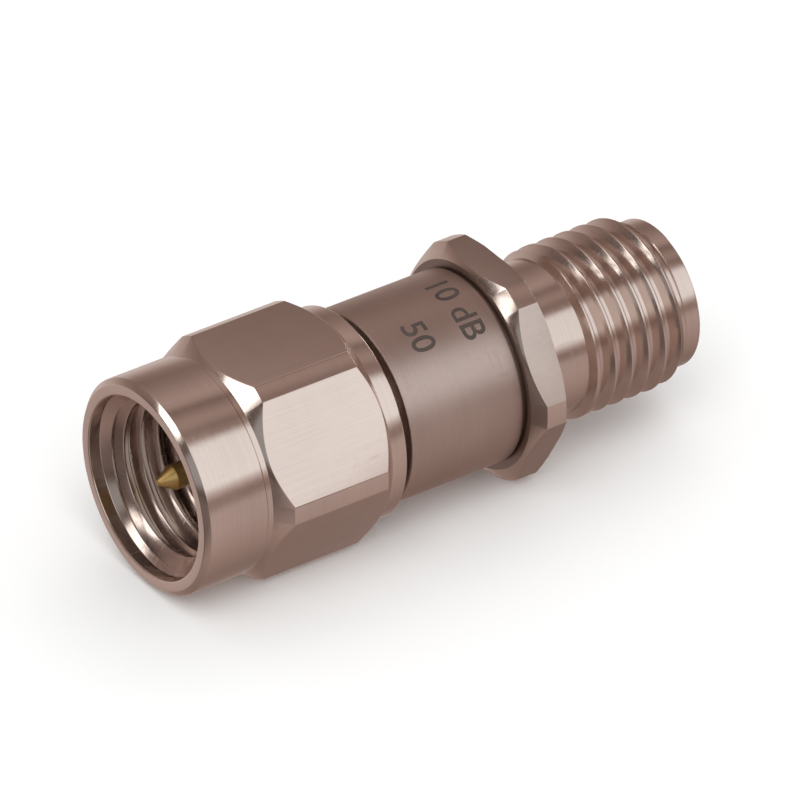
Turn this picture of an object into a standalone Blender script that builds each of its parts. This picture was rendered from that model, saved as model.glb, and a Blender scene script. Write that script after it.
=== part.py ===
"""Fixed coaxial attenuator: male plug with a hexagonal coupling nut, barrel, threaded jack.

The connector's axis runs along world X, from the plug's mouth to the jack's end. The part
lies on a flat of the nut and of the flange, so Z = 0 is the bench. Pieces are modelled in
the frame of their parent empty, whose local Z is the connector's axis.
"""
import math

import bmesh
import bpy
from mathutils import Vector

MM = 0.001

# Fits
SEAT = 0.02 * MM               # gap left between pieces that touch
RUN = 0.06 * MM                # radial play of the nut on the shank
EDGE = 0.08 * MM               # small chamfer on turned edges

# Outer conductor: the tube that enters a jack, which the other radii build on
TUBE_RADIUS = 2.29 * MM
TUBE_WALL = 0.24 * MM
BORE_STEP = 0.30 * MM          # the bore narrows by this behind the front insulator
SHANK_STEP = 0.31 * MM         # the shank stands this far over the tube
SHELL_RISE = 0.38 * MM         # the shell's flange stands this far over the shank
TUBE_PLAY = 0.01 * MM          # from the tube to a jack's mouth
JACK_RIM = 0.42 * MM           # wall of the jack's pilot
PILOT_DROP = 0.02 * MM         # the pilot lies this far under the thread's root

# Coupling nut
NUT_WALL = 0.78 * MM           # from the nut's counterbore to its flats
NUT_LENGTH = 8.37 * MM
NUT_CORNER_RISE = 0.43 * MM    # the hexagon's corners are turned down to this over the flats
NUT_NOSE_LENGTH = 2.50 * MM    # plain round stretch at the mouth
NUT_NOSE_RELIEF = 0.04 * MM    # the nose lies this far under the flats
NUT_HEX_END = 7.21 * MM        # where the corners begin to fall towards the rear band
NUT_BAND_DROP = 0.11 * MM      # the turned rear band lies this far under the flats
NUT_LIP = 0.36 * MM            # width of the mouth's flat rim
NUT_LIP_CHAMFER = 0.20 * MM
NUT_MOUTH_DEPTH = 0.62 * MM    # plain counterbore in front of the thread
NUT_GROOVE_DEPTH = 0.08 * MM   # tool groove between nose and hexagon
NUT_GROOVE_WIDTH = 0.20 * MM

# Thread, 1/4-36, right-handed
THREAD_DEPTH = 0.39 * MM
THREAD_PITCH = 25.4 / 36 * MM
THREAD_FLANK = math.radians(30)
THREAD_FLAT = 0.09 * MM        # flat at the bottom of the groove
THREAD_PLAY = 0.09 * MM        # from the jack's crest to the nut's counterbore
THREAD_CLEAR = 0.045 * MM      # radial play between the nut's thread and the jack's
THREAD_RUN_OUT = 0.5           # share of a turn over which the jack's groove rises out
JACK_THREAD_START = 0.09 * MM  # middle of the first groove, behind the start of the jack's cone
NUT_THREAD_START = 0.04 * MM   # the same in the nut, where one more turn is cut in front of it

# Plug behind the mouth
PLUG_PLANE = 2.75 * MM         # contact plane, behind the nut's mouth
PIN_REACH = 2.15 * MM          # how far the pin stands out of the contact plane
JACK_RECESS = 1.9 * MM         # contact plane of the jack, behind its end face
SHANK_LAND = 0.32 * MM         # wall between the shank's front and its groove
SHANK_GROOVE_DEPTH = 0.35 * MM
FLOAT_FORWARD = 0.45 * MM      # how far the nut slides towards the mating jack
FLOAT_BACK = 0.10 * MM
RING_THICKNESS = 0.40 * MM
RING_BITE = 0.32 * MM          # how deep the ring sits in the nut's groove
RING_SPLIT = 0.9 * MM
GASKET_THICKNESS = 0.50 * MM
GASKET_SQUEEZE = 0.15 * MM
GASKET_PLAY = 0.05 * MM

# Barrel
NUT_GAP = 0.41 * MM            # from the nut's rear face to the barrel
BARREL_LENGTH = 4.68 * MM
BARREL_WALL = 0.58 * MM
SHELL_FLANGE = 0.54 * MM       # length of the plug shell inside the barrel
SPIGOT_LENGTH = 0.88 * MM      # length of the jack body inside the barrel

# Jack body
FLANGE_THICKNESS = 1.30 * MM
FLANGE_CORNER_RISE = 0.38 * MM
FLANGE_FACE_DROP = 0.15 * MM   # the flange's front face ends this far under the flats
FLANGE_CHAMFER = 0.37 * MM
FLANGE_REAR_CHAMFER = 0.14 * MM
FLANGE_REAR_FALL = 0.30 * MM   # radial fall of the rear chamfer, at the corners only
SHOULDER_LENGTH = 0.08 * MM    # low shoulder that the barrel meets, in front of the flange
SHOULDER_DROP = 0.12 * MM      # the shoulder lies this far under the barrel
NECK_RISE = 0.10 * MM          # the neck stands this far over the thread's root
NECK_LENGTH = 1.89 * MM
THREAD_LENGTH = 3.70 * MM
LEAD_LENGTH = 0.52 * MM
PILOT_LENGTH = 0.61 * MM
JACK_MOUTH_CHAMFER = 0.15 * MM

# Centre conductors and insulators, the same at both ends
FRONT_INSULATOR = 2.85 * MM    # from the contact plane to the step in the bore
CONTACT_RADIUS = 0.635 * MM
TAIL_RADIUS = 0.53 * MM
COLLAR_RADIUS = 0.85 * MM
COLLAR_LENGTH = 0.30 * MM
PIN_RADIUS = 0.457 * MM
PIN_TAPER = 0.60 * MM
PIN_TIP_RADIUS = 0.10 * MM
SOCKET_BORE_RADIUS = 0.48 * MM
SOCKET_DEPTH = 2.6 * MM
SOCKET_SLOT_WIDTH = 0.16 * MM
SOCKET_SLOT_DEPTH = 2.0 * MM

# Attenuator card and what holds it
CARD_THICKNESS = 0.25 * MM
CARD_WIDTH = 3.8 * MM
CARD_END_GAP = 0.12 * MM       # from the holder's end faces to the card
FILM_THICKNESS = 0.05 * MM
FILM_WIDTH = 1.7 * MM
TERMINAL_WIDTH = 0.9 * MM
TERMINAL_LENGTH = 0.50 * MM
CHANNEL_RADIUS = 1.46 * MM
GRIP_LENGTH = 0.45 * MM        # overlap of a contact's fork and the card
WASHER_THICKNESS = 0.12 * MM
WASHER_WAVE = 0.07 * MM
WASHER_WAVES = 3
WASHER_WIDTH = 0.75 * MM

# Facets around the axis, multiples of four
OUTER_SIDES = 48
MIDDLE_SIDES = 28
INNER_SIDES = 24
MERGE_DISTANCE = 0.000002
CUT_PAST = 1.0 * MM            # how far a cutting tool runs past what it cuts
GROOVE_PAST = 0.06 * MM        # how far a thread's cutter stands past the crest
EMPTY_SIZE = 2.0 * MM

# Stations along the axis, from the nut's mouth
BARREL_FRONT = NUT_LENGTH + NUT_GAP
BARREL_REAR = BARREL_FRONT + BARREL_LENGTH
SHOULDER_FRONT = BARREL_REAR + SEAT
FLANGE_FRONT = SHOULDER_FRONT + SHOULDER_LENGTH
FLANGE_REAR = FLANGE_FRONT + FLANGE_THICKNESS
THREAD_FRONT = FLANGE_REAR + NECK_LENGTH
LEAD_FRONT = THREAD_FRONT + THREAD_LENGTH
PILOT_FRONT = LEAD_FRONT + LEAD_LENGTH
JACK_END = PILOT_FRONT + PILOT_LENGTH
JACK_PLANE = JACK_END - JACK_RECESS

# When the nut is drawn up, the gasket is squeezed between a mated jack and the nut's shoulder
NUT_SHOULDER = PLUG_PLANE + JACK_RECESS + GASKET_THICKNESS - GASKET_SQUEEZE + FLOAT_FORWARD
SHANK_FRONT = NUT_SHOULDER + FLOAT_BACK + SEAT
GROOVE_FRONT = SHANK_FRONT + SHANK_LAND
RING_FRONT = GROOVE_FRONT + FLOAT_FORWARD + SEAT
RING_REAR = RING_FRONT + RING_THICKNESS
GROOVE_REAR = RING_REAR + FLOAT_BACK + SEAT
PLUG_STEP = PLUG_PLANE + FRONT_INSULATOR
JACK_STEP = JACK_PLANE - FRONT_INSULATOR

# Radii
BORE_RADIUS = TUBE_RADIUS - TUBE_WALL
REAR_BORE_RADIUS = BORE_RADIUS - BORE_STEP
SHANK_RADIUS = TUBE_RADIUS + SHANK_STEP
SHANK_GROOVE_RADIUS = SHANK_RADIUS - SHANK_GROOVE_DEPTH
SPIGOT_RADIUS = SHANK_RADIUS + SHELL_RISE
SLEEVE_BORE_RADIUS = SPIGOT_RADIUS + SEAT
BARREL_RADIUS = SLEEVE_BORE_RADIUS + BARREL_WALL
JACK_MOUTH_RADIUS = TUBE_RADIUS + TUBE_PLAY
PILOT_RADIUS = JACK_MOUTH_RADIUS + JACK_RIM
THREAD_ROOT_RADIUS = PILOT_RADIUS + PILOT_DROP
THREAD_RADIUS = THREAD_ROOT_RADIUS + THREAD_DEPTH
NECK_RADIUS = THREAD_ROOT_RADIUS + NECK_RISE
NUT_BORE_RADIUS = SHANK_RADIUS + RUN
RING_RADIUS = NUT_BORE_RADIUS + RING_BITE
NUT_COUNTERBORE_RADIUS = THREAD_RADIUS + THREAD_PLAY
NUT_ROOT_RADIUS = THREAD_RADIUS + THREAD_CLEAR
NUT_CREST_RADIUS = NUT_ROOT_RADIUS - THREAD_DEPTH + THREAD_CLEAR
FLAT_RADIUS = NUT_COUNTERBORE_RADIUS + NUT_WALL
NUT_CORNER_RADIUS = FLAT_RADIUS + NUT_CORNER_RISE
NUT_BAND_RADIUS = FLAT_RADIUS - NUT_BAND_DROP
FLANGE_CORNER_RADIUS = FLAT_RADIUS + FLANGE_CORNER_RISE
FLANGE_FACE_RADIUS = FLAT_RADIUS - FLANGE_FACE_DROP
SHOULDER_RADIUS = BARREL_RADIUS - SHOULDER_DROP

SHELL_REAR = BARREL_FRONT + SHELL_FLANGE
HOLDER_FRONT = SHELL_REAR + SEAT
SPIGOT_FRONT = SHOULDER_FRONT - SPIGOT_LENGTH
WASHER_SPACE = WASHER_THICKNESS + 2 * WASHER_WAVE + 2 * SEAT
HOLDER_REAR = SPIGOT_FRONT - WASHER_SPACE
CARD_FRONT = HOLDER_FRONT + CARD_END_GAP
CARD_REAR = HOLDER_REAR - CARD_END_GAP
CARD_TOP = CARD_THICKNESS / 2
FILM_BOTTOM = CARD_TOP + SEAT
FILM_TOP = FILM_BOTTOM + FILM_THICKNESS


def clear_scene():
    for thing in list(bpy.data.objects):
        bpy.data.objects.remove(thing, do_unlink=True)


def new_collection(name):
    collection = bpy.data.collections.new(name)
    bpy.context.scene.collection.children.link(collection)
    return collection


def new_material(name, colour, roughness, metallic):
    material = bpy.data.materials.new(name)
    material.use_nodes = True
    shader = material.node_tree.nodes["Principled BSDF"]
    shader.inputs["Base Color"].default_value = (*colour, 1.0)
    shader.inputs["Roughness"].default_value = roughness
    shader.inputs["Metallic"].default_value = metallic
    return material


def new_axis(name, collection, station, parent=None, turned_back=False):
    """An empty on the connector's axis. Its local Z runs towards the jack, or back from it."""
    axis = bpy.data.objects.new(name, None)
    axis.empty_display_size = EMPTY_SIZE
    collection.objects.link(axis)
    axis.parent = parent
    if parent is None:
        axis.location = (station - JACK_END / 2, 0, FLAT_RADIUS)
        axis.rotation_euler = (0, math.pi / 2, 0)
    else:
        axis.location = (0, 0, station)
        axis.rotation_euler = (0, math.pi if turned_back else 0, 0)
    return axis


def new_piece(name, mesh, collection, parent, material=None):
    piece = bpy.data.objects.new(name, mesh)
    collection.objects.link(piece)
    piece.parent = parent
    if material is not None:
        mesh.materials.append(material)
    return piece


def turned(name, outline, sides, collection, parent, material=None):
    """Turn an outline of (radius, station) points about the parent's Z.

    The outline goes along the outside first, with the station growing, and comes back along
    the bore. One that starts and ends on the axis makes a solid, any other a closed ring.
    """
    points = [Vector((radius, 0, station)) for radius, station in reversed(outline)]
    count = len(points)
    edges = [(i, i + 1) for i in range(count - 1)]
    if outline[0][0] > 0:
        edges.append((count - 1, 0))
    mesh = bpy.data.meshes.new(name)
    mesh.from_pydata(points, edges, [])
    piece = new_piece(name, mesh, collection, parent, material)
    screw = piece.modifiers.new("turn", "SCREW")
    screw.axis = "Z"
    screw.angle = 2 * math.pi
    screw.steps = sides
    screw.render_steps = sides
    screw.use_merge_vertices = True
    screw.merge_threshold = MERGE_DISTANCE
    screw.use_smooth_shade = True
    return piece


def block(name, along, side, height, collection, parent, material=None):
    """A box from (low, high) pairs: station, world Y and height over the connector's axis."""
    form = bmesh.new()
    bmesh.ops.create_cube(form, size=1.0)
    size = Vector((height[1] - height[0], side[1] - side[0], along[1] - along[0]))
    centre = Vector((-(height[0] + height[1]) / 2, sum(side) / 2, sum(along) / 2))
    bmesh.ops.scale(form, vec=size, verts=form.verts)
    bmesh.ops.translate(form, vec=centre, verts=form.verts)
    mesh = bpy.data.meshes.new(name)
    form.to_mesh(mesh)
    form.free()
    return new_piece(name, mesh, collection, parent, material)


def hexagon_bar(name, along, collection, parent):
    """A hexagonal bar. The cone's first corner is at local Y, so two flats face up and down."""
    form = bmesh.new()
    corner = FLAT_RADIUS / math.cos(math.pi / 6)
    bmesh.ops.create_cone(
        form, cap_ends=True, segments=6, radius1=corner, radius2=corner, depth=along[1] - along[0]
    )
    bmesh.ops.translate(form, vec=(0, 0, sum(along) / 2), verts=form.verts)
    mesh = bpy.data.meshes.new(name)
    form.to_mesh(mesh)
    form.free()
    return new_piece(name, mesh, collection, parent)


def thread_groove(name, root, crest, start, turns, run_out, cutters, axis):
    """The helical groove between a thread's flanks, as a closed solid to cut with.

    Its section is a trapezium, narrow at the root and a little past the crest on its wide
    side. Over the run out at the start, the groove moves back out of the metal. The starts
    are chosen so that no corner of the section lands on a cone or edge of the piece.
    """
    outward = 1 if crest > root else -1
    mouth = crest + outward * GROOVE_PAST
    narrow = THREAD_FLAT / 2
    wide = narrow + abs(mouth - root) * math.tan(THREAD_FLANK)
    form = bmesh.new()
    section = [(root, -narrow), (mouth, -wide), (mouth, wide), (root, narrow)]
    corners = [form.verts.new((radius, 0, start + station)) for radius, station in section]
    face = form.faces.new(corners)
    bmesh.ops.spin(
        form, geom=[face], cent=(0, 0, 0), axis=(0, 0, 1), dvec=(0, 0, THREAD_PITCH / OUTER_SIDES),
        angle=2 * math.pi * turns, steps=round(turns * OUTER_SIDES), use_merge=False,
    )
    form.verts.index_update()
    for vert in form.verts:
        turn = vert.index // len(section) / OUTER_SIDES
        if turn < run_out:
            lift = 1 - turn / run_out
            stretch = 1 + lift * abs(crest - root) / root
            vert.co.x *= stretch
            vert.co.y *= stretch
    bmesh.ops.recalc_face_normals(form, faces=form.faces)
    mesh = bpy.data.meshes.new(name)
    form.to_mesh(mesh)
    form.free()
    return new_piece(name, mesh, cutters, axis)


def whole_steps(turns):
    return math.ceil(turns * OUTER_SIDES) / OUTER_SIDES


def combine(piece, tool, operation):
    step = piece.modifiers.new(tool.name, "BOOLEAN")
    step.operation = operation
    step.solver = "EXACT"
    step.object = tool
    tool.hide_render = True
    tool.display_type = "WIRE"


def coupling_nut(parts, cutters, axis, steel):
    nose = FLAT_RADIUS - NUT_NOSE_RELIEF
    groove = nose - NUT_GROOVE_DEPTH
    cone_front = NUT_NOSE_LENGTH + NUT_GROOVE_DEPTH + NUT_GROOVE_WIDTH
    hex_front = cone_front + NUT_CORNER_RADIUS - groove
    band_front = NUT_HEX_END + NUT_CORNER_RADIUS - NUT_BAND_RADIUS
    ring_seat = RING_RADIUS + GASKET_PLAY
    relief = NUT_COUNTERBORE_RADIUS + GASKET_PLAY
    gasket_front = NUT_SHOULDER - SEAT - GASKET_THICKNESS
    outline = [
        (nose - NUT_LIP_CHAMFER, 0),
        (nose, NUT_LIP_CHAMFER),
        (nose, NUT_NOSE_LENGTH),
        (groove, NUT_NOSE_LENGTH + NUT_GROOVE_DEPTH),
        (groove, cone_front),
        (NUT_CORNER_RADIUS, hex_front),
        (NUT_CORNER_RADIUS, NUT_HEX_END),
        (NUT_BAND_RADIUS, band_front),
        (NUT_BAND_RADIUS, NUT_LENGTH - EDGE),
        (NUT_BAND_RADIUS - EDGE, NUT_LENGTH),
        (NUT_BORE_RADIUS + EDGE, NUT_LENGTH),
        (NUT_BORE_RADIUS, NUT_LENGTH - EDGE),
        (NUT_BORE_RADIUS, RING_REAR + SEAT),
        (ring_seat, RING_REAR + SEAT),
        (ring_seat, RING_FRONT - SEAT),
        (NUT_BORE_RADIUS, RING_FRONT - SEAT),
        (NUT_BORE_RADIUS, NUT_SHOULDER),
        (relief, NUT_SHOULDER),
        (relief, gasket_front - GASKET_PLAY),
        (NUT_CREST_RADIUS, gasket_front - GASKET_PLAY - relief + NUT_CREST_RADIUS),
        (NUT_CREST_RADIUS, NUT_MOUTH_DEPTH + NUT_COUNTERBORE_RADIUS - NUT_CREST_RADIUS),
        (NUT_COUNTERBORE_RADIUS, NUT_MOUTH_DEPTH),
        (NUT_COUNTERBORE_RADIUS, nose - NUT_LIP_CHAMFER - NUT_LIP - NUT_COUNTERBORE_RADIUS),
        (nose - NUT_LIP_CHAMFER - NUT_LIP, 0),
    ]
    nut = turned("coupling_nut", outline, OUTER_SIDES, parts, axis, steel)
    bar = hexagon_bar("nut_hexagon", (-CUT_PAST, NUT_LENGTH + CUT_PAST), cutters, axis)
    combine(nut, bar, "INTERSECT")
    start = NUT_MOUTH_DEPTH + NUT_THREAD_START - THREAD_PITCH
    turns = whole_steps((gasket_front - start) / THREAD_PITCH)
    groove = thread_groove(
        "nut_thread", NUT_ROOT_RADIUS, NUT_CREST_RADIUS, start, turns, 0, cutters, axis
    )
    combine(nut, groove, "DIFFERENCE")
    return nut


def retaining_ring(parts, cutters, axis, steel):
    bore = SHANK_GROOVE_RADIUS + GASKET_PLAY
    outline = [
        (RING_RADIUS, RING_FRONT),
        (RING_RADIUS, RING_REAR),
        (bore, RING_REAR),
        (bore, RING_FRONT),
    ]
    ring = turned("retaining_ring", outline, MIDDLE_SIDES, parts, axis, steel)
    split = block(
        "ring_split",
        (RING_FRONT - CUT_PAST, RING_REAR + CUT_PAST),
        (-RING_SPLIT / 2, RING_SPLIT / 2),
        (0, 2 * RING_RADIUS),
        cutters,
        axis,
    )
    combine(ring, split, "DIFFERENCE")
    return ring


def nut_gasket(parts, axis, rubber):
    rear = NUT_SHOULDER - SEAT
    front = rear - GASKET_THICKNESS
    bore = TUBE_RADIUS + GASKET_PLAY
    rim = NUT_COUNTERBORE_RADIUS - SEAT
    outline = [
        (rim - EDGE, front),
        (rim, front + EDGE),
        (rim, rear - EDGE),
        (rim - EDGE, rear),
        (bore, rear),
        (bore, front),
    ]
    return turned("nut_gasket", outline, MIDDLE_SIDES, parts, axis, rubber)


def plug_shell(parts, axis, steel):
    outline = [
        (TUBE_RADIUS - EDGE, PLUG_PLANE),
        (TUBE_RADIUS, PLUG_PLANE + EDGE),
        (TUBE_RADIUS, SHANK_FRONT),
        (SHANK_RADIUS - EDGE, SHANK_FRONT),
        (SHANK_RADIUS, SHANK_FRONT + EDGE),
        (SHANK_RADIUS, GROOVE_FRONT),
        (SHANK_GROOVE_RADIUS, GROOVE_FRONT),
        (SHANK_GROOVE_RADIUS, GROOVE_REAR),
        (SHANK_RADIUS, GROOVE_REAR),
        (SHANK_RADIUS, BARREL_FRONT),
        (SPIGOT_RADIUS, BARREL_FRONT),
        (SPIGOT_RADIUS, SHELL_REAR),
        (REAR_BORE_RADIUS, SHELL_REAR),
        (REAR_BORE_RADIUS, PLUG_STEP),
        (BORE_RADIUS, PLUG_STEP),
        (BORE_RADIUS, PLUG_PLANE),
    ]
    return turned("plug_shell", outline, MIDDLE_SIDES, parts, axis, steel)


def barrel_sleeve(parts, axis, steel):
    outline = [
        (BARREL_RADIUS - EDGE, BARREL_FRONT),
        (BARREL_RADIUS, BARREL_FRONT + EDGE),
        (BARREL_RADIUS, BARREL_REAR - EDGE),
        (BARREL_RADIUS - EDGE, BARREL_REAR),
        (SLEEVE_BORE_RADIUS, BARREL_REAR),
        (SLEEVE_BORE_RADIUS, BARREL_FRONT),
    ]
    return turned("barrel_sleeve", outline, OUTER_SIDES, parts, axis, steel)


def jack_body(parts, cutters, axis, steel):
    outline = [
        (SPIGOT_RADIUS - EDGE, SPIGOT_FRONT),
        (SPIGOT_RADIUS, SPIGOT_FRONT + EDGE),
        (SPIGOT_RADIUS, SHOULDER_FRONT),
        (SHOULDER_RADIUS, SHOULDER_FRONT),
        (SHOULDER_RADIUS, FLANGE_FRONT),
        (FLANGE_FACE_RADIUS, FLANGE_FRONT),
        (FLANGE_CORNER_RADIUS, FLANGE_FRONT + FLANGE_CHAMFER),
        (FLANGE_CORNER_RADIUS, FLANGE_REAR - FLANGE_REAR_CHAMFER),
        (FLANGE_CORNER_RADIUS - FLANGE_REAR_FALL, FLANGE_REAR),
        (NECK_RADIUS, FLANGE_REAR),
        (NECK_RADIUS, THREAD_FRONT),
        (THREAD_RADIUS, THREAD_FRONT + THREAD_RADIUS - NECK_RADIUS),
        (THREAD_RADIUS, LEAD_FRONT),
        (PILOT_RADIUS, PILOT_FRONT),
        (PILOT_RADIUS, JACK_END - EDGE),
        (PILOT_RADIUS - EDGE, JACK_END),
        (JACK_MOUTH_RADIUS + JACK_MOUTH_CHAMFER, JACK_END),
        (JACK_MOUTH_RADIUS, JACK_END - JACK_MOUTH_CHAMFER),
        (JACK_MOUTH_RADIUS, JACK_PLANE),
        (BORE_RADIUS, JACK_PLANE),
        (BORE_RADIUS, JACK_STEP),
        (REAR_BORE_RADIUS, JACK_STEP),
        (REAR_BORE_RADIUS, SPIGOT_FRONT),
    ]
    body = turned("jack_body", outline, OUTER_SIDES, parts, axis, steel)
    along = (SPIGOT_FRONT - CUT_PAST, JACK_END + CUT_PAST)
    bar = hexagon_bar("flange_hexagon", along, cutters, axis)
    combine(body, bar, "INTERSECT")
    start = THREAD_FRONT + JACK_THREAD_START
    turns = whole_steps((PILOT_FRONT + THREAD_PITCH / 2 - start) / THREAD_PITCH)
    groove = thread_groove(
        "jack_thread", THREAD_ROOT_RADIUS, THREAD_RADIUS, start, turns, THREAD_RUN_OUT, cutters, axis
    )
    combine(body, groove, "DIFFERENCE")
    return body


def insulators(prefix, parts, plane_axis, rear_depth, plastic):
    """Two insulators that trap a contact's collar. Depths count from the contact plane."""
    step = FRONT_INSULATOR
    pocket = COLLAR_RADIUS + SEAT
    front = [
        (BORE_RADIUS - SEAT, 0),
        (BORE_RADIUS - SEAT, step - SEAT),
        (pocket, step - SEAT),
        (pocket, step - 3 * SEAT - COLLAR_LENGTH),
        (CONTACT_RADIUS + SEAT, step - 3 * SEAT - COLLAR_LENGTH),
        (CONTACT_RADIUS + SEAT, 0),
    ]
    rear = [
        (REAR_BORE_RADIUS - SEAT, step),
        (REAR_BORE_RADIUS - SEAT, rear_depth),
        (TAIL_RADIUS + SEAT, rear_depth),
        (TAIL_RADIUS + SEAT, step),
    ]
    turned(prefix + "_dielectric_front", front, INNER_SIDES, parts, plane_axis, plastic)
    turned(prefix + "_dielectric_rear", rear, INNER_SIDES, parts, plane_axis, plastic)


def contact_rear(end_depth):
    """Outline of a contact from its collar to the fork that grips the card."""
    collar_rear = FRONT_INSULATOR - SEAT
    return [
        (CONTACT_RADIUS, collar_rear - SEAT - COLLAR_LENGTH),
        (COLLAR_RADIUS, collar_rear - SEAT - COLLAR_LENGTH),
        (COLLAR_RADIUS, collar_rear),
        (TAIL_RADIUS, collar_rear),
        (TAIL_RADIUS, end_depth),
        (0, end_depth),
    ]


def fork_cut(name, contact, end_depth, cutters, plane_axis):
    """The slot across a contact's tail that takes the card and its terminal."""
    slot = block(
        name,
        (end_depth - GRIP_LENGTH - SEAT, end_depth + CUT_PAST),
        (-COLLAR_RADIUS, COLLAR_RADIUS),
        (-FILM_TOP - SEAT, FILM_TOP + SEAT),
        cutters,
        plane_axis,
    )
    combine(contact, slot, "DIFFERENCE")


def plug_pin(parts, cutters, plane_axis, gold):
    end_depth = CARD_FRONT + GRIP_LENGTH - PLUG_PLANE
    outline = [
        (0, -PIN_REACH),
        (PIN_TIP_RADIUS, -PIN_REACH),
        (PIN_RADIUS, PIN_TAPER - PIN_REACH),
        (PIN_RADIUS, 0),
        (CONTACT_RADIUS, 0),
    ]
    pin = turned("plug_pin", outline + contact_rear(end_depth), INNER_SIDES, parts, plane_axis, gold)
    fork_cut("plug_fork", pin, end_depth, cutters, plane_axis)
    return pin


def jack_socket(parts, cutters, plane_axis, gold):
    end_depth = JACK_PLANE - CARD_REAR + GRIP_LENGTH
    mouth = [
        (0, SOCKET_DEPTH),
        (SOCKET_BORE_RADIUS, SOCKET_DEPTH - SOCKET_BORE_RADIUS),
        (SOCKET_BORE_RADIUS, EDGE),
        (SOCKET_BORE_RADIUS + EDGE, 0),
        (CONTACT_RADIUS, 0),
    ]
    socket = turned(
        "jack_socket", mouth + contact_rear(end_depth), INNER_SIDES, parts, plane_axis, gold
    )
    half = SOCKET_SLOT_WIDTH / 2
    reach = 2 * CONTACT_RADIUS
    depth = (-CUT_PAST, SOCKET_SLOT_DEPTH)
    level = block("socket_slot_level", depth, (-reach, reach), (-half, half), cutters, plane_axis)
    upright = block("socket_slot_upright", depth, (-half, half), (-reach, reach), cutters, plane_axis)
    combine(socket, level, "DIFFERENCE")
    combine(socket, upright, "DIFFERENCE")
    fork_cut("jack_fork", socket, end_depth, cutters, plane_axis)
    return socket


def card_holder(name, side, parts, cutters, axis, brass):
    """One metal half shell: a bored half cylinder with a ledge for the card's long edge."""
    outline = [
        (SPIGOT_RADIUS, HOLDER_FRONT),
        (SPIGOT_RADIUS, HOLDER_REAR),
        (CHANNEL_RADIUS, HOLDER_REAR),
        (CHANNEL_RADIUS, HOLDER_FRONT),
    ]
    holder = turned(name, outline, MIDDLE_SIDES, parts, axis, brass)
    reach = 2 * SPIGOT_RADIUS
    other_half = sorted((side * SEAT / 2, -side * reach))
    whole = (HOLDER_FRONT - CUT_PAST, HOLDER_REAR + CUT_PAST)
    away = block(name + "_split", whole, (-reach, reach), other_half, cutters, axis)
    combine(holder, away, "DIFFERENCE")
    ledge = FILM_TOP + SEAT if side > 0 else CARD_TOP + SEAT
    half_width = CARD_WIDTH / 2 + SEAT
    seat = block(
        name + "_ledge",
        (CARD_FRONT - SEAT, CARD_REAR + SEAT),
        (-half_width, half_width),
        sorted((-side * ledge, side * ledge)),
        cutters,
        axis,
    )
    combine(holder, seat, "DIFFERENCE")
    return holder


def attenuator_card(parts, axis, ceramic, resistive, silver):
    """The ceramic plate, and on its upper face the film, its two terminals and two ground strips."""
    along = (CARD_FRONT, CARD_REAR)
    input_end = CARD_FRONT + TERMINAL_LENGTH
    output_start = CARD_REAR - TERMINAL_LENGTH
    outer = CARD_WIDTH / 2
    inner = FILM_WIDTH / 2
    half = TERMINAL_WIDTH / 2
    height = (FILM_BOTTOM, FILM_TOP)
    film = (input_end + SEAT, output_start - SEAT)
    block("attenuator_card", along, (-outer, outer), (-CARD_TOP, CARD_TOP), parts, axis, ceramic)
    block("resistor_film", film, (-inner, inner), height, parts, axis, resistive)
    block("input_terminal", (CARD_FRONT, input_end), (-half, half), height, parts, axis, silver)
    block("output_terminal", (output_start, CARD_REAR), (-half, half), height, parts, axis, silver)
    block("ground_strip_left", along, (inner + SEAT, outer), height, parts, axis, silver)
    block("ground_strip_right", along, (-outer, -inner - SEAT), height, parts, axis, silver)


def wave_washer(parts, axis, steel):
    """A flat ring bent into waves: the ring is spun first, then each point is moved."""
    middle = (HOLDER_REAR + SPIGOT_FRONT) / 2
    half = WASHER_THICKNESS / 2
    rim = SPIGOT_RADIUS - SEAT
    form = bmesh.new()
    corners = [(rim - WASHER_WIDTH, -half), (rim, -half), (rim, half), (rim - WASHER_WIDTH, half)]
    ring = [form.verts.new((radius, 0, station)) for radius, station in corners]
    edges = [form.edges.new((ring[i], ring[(i + 1) % len(ring)])) for i in range(len(ring))]
    bmesh.ops.spin(
        form, geom=ring + edges, cent=(0, 0, 0), axis=(0, 0, 1), dvec=(0, 0, 0),
        angle=2 * math.pi, steps=MIDDLE_SIDES, use_merge=True, use_duplicate=False,
    )
    bmesh.ops.remove_doubles(form, verts=form.verts, dist=MERGE_DISTANCE)
    for vert in form.verts:
        turn = math.atan2(vert.co.y, vert.co.x)
        vert.co.z += middle + WASHER_WAVE * math.cos(WASHER_WAVES * turn)
    bmesh.ops.recalc_face_normals(form, faces=form.faces)
    mesh = bpy.data.meshes.new("wave_washer")
    form.to_mesh(mesh)
    form.free()
    return new_piece("wave_washer", mesh, parts, axis, steel)


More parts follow.
